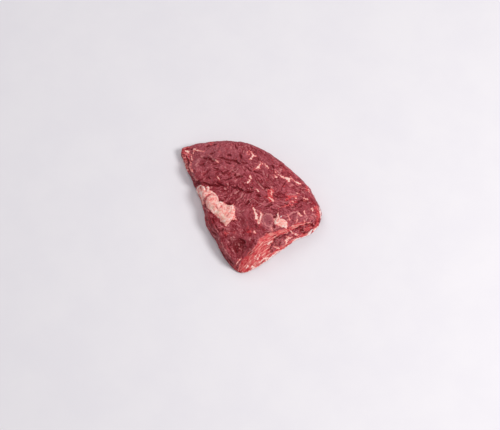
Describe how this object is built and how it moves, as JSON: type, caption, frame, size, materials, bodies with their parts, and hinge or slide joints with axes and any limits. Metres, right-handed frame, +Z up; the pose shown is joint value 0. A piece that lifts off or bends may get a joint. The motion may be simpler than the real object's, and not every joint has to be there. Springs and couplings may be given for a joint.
{
  "type": "raw beef flank piece",
  "caption": "Raw trimmed piece of beef flank: a low rounded slab with folds in its top, pads of fat and a sliced fibrous near face, lying on a flat underside.",
  "frame": {"origin": "middle of the bounding box's bottom, on the surface that the meat lies on", "axes": "+Z up from the underside; +Y away from the viewer, along the longest extent; +X to the right, the sliced face looks towards +X and -Y"},
  "size_m": [0.1314, 0.1358, 0.025],
  "materials": {
    "meat": null
  },
  "bodies": {
    "root": {"beef_flank": "meat"}
  },
  "joints": []
}
